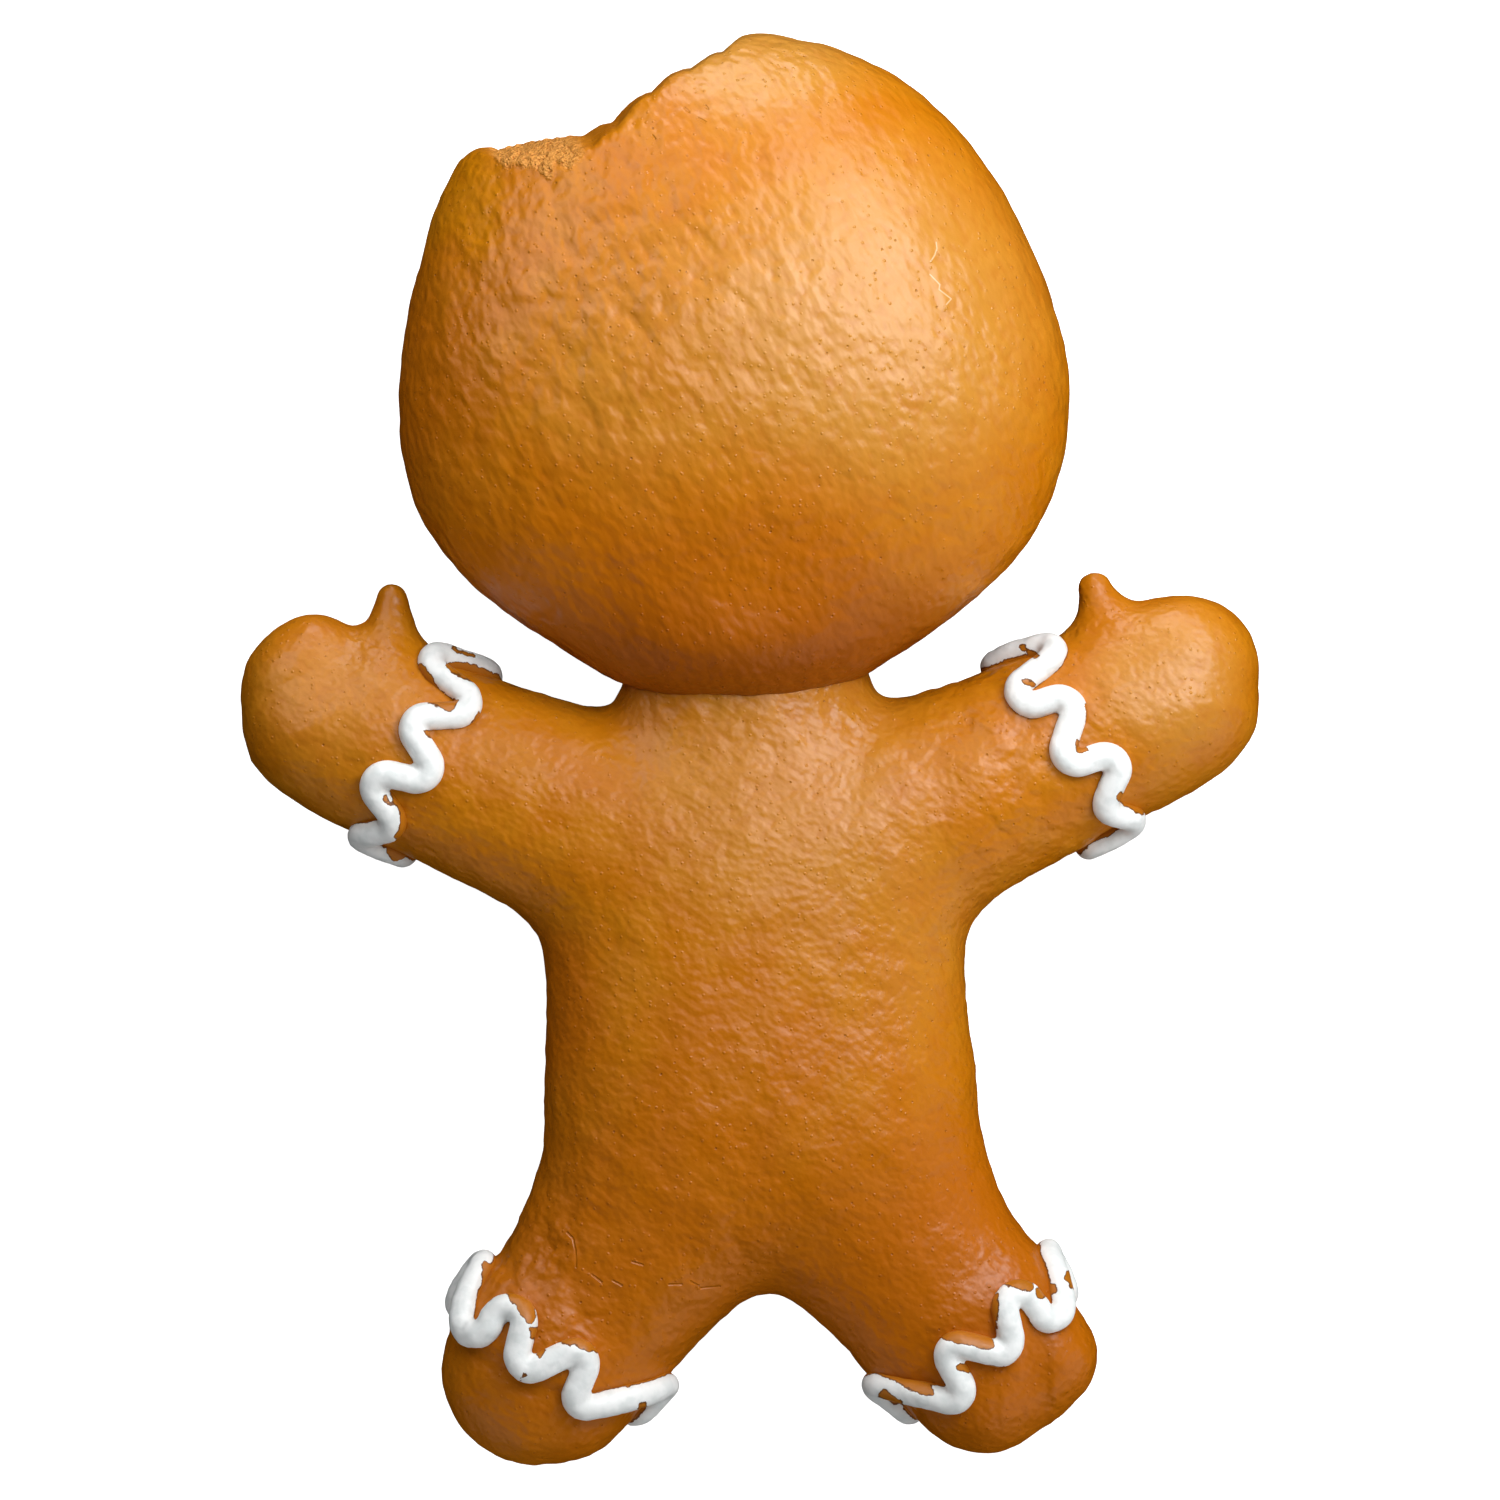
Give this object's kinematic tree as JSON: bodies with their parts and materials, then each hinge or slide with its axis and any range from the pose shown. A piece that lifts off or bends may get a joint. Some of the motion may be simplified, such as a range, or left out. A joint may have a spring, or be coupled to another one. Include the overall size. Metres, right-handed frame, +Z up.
{
  "type": "painted resin display figure of a gingerbread man cookie",
  "caption": "Plump gingerbread man display figure in painted cast resin, lying on its front: big round head with a bite out of the crown, stub limbs, wavy white icing beads.",
  "frame": {"origin": "on the floor, under the middle of the figure's outline", "axes": "+Y towards the top of the head, +X towards the figure's right hand, +Z up, out of its back"},
  "size_m": [0.642, 0.897, 0.2193],
  "materials": {
    "gingerbread_paint": "brown gingerbread paint over orange-peel relief, satin",
    "icing_paint": "white paint on a raised bead, satin"
  },
  "bodies": {
    "root": {"gingerbread_figure": "gingerbread_paint", "icing_wrist_left": "icing_paint", "icing_wrist_right": "icing_paint", "icing_ankle_left": "icing_paint", "icing_ankle_right": "icing_paint"}
  },
  "joints": []
}
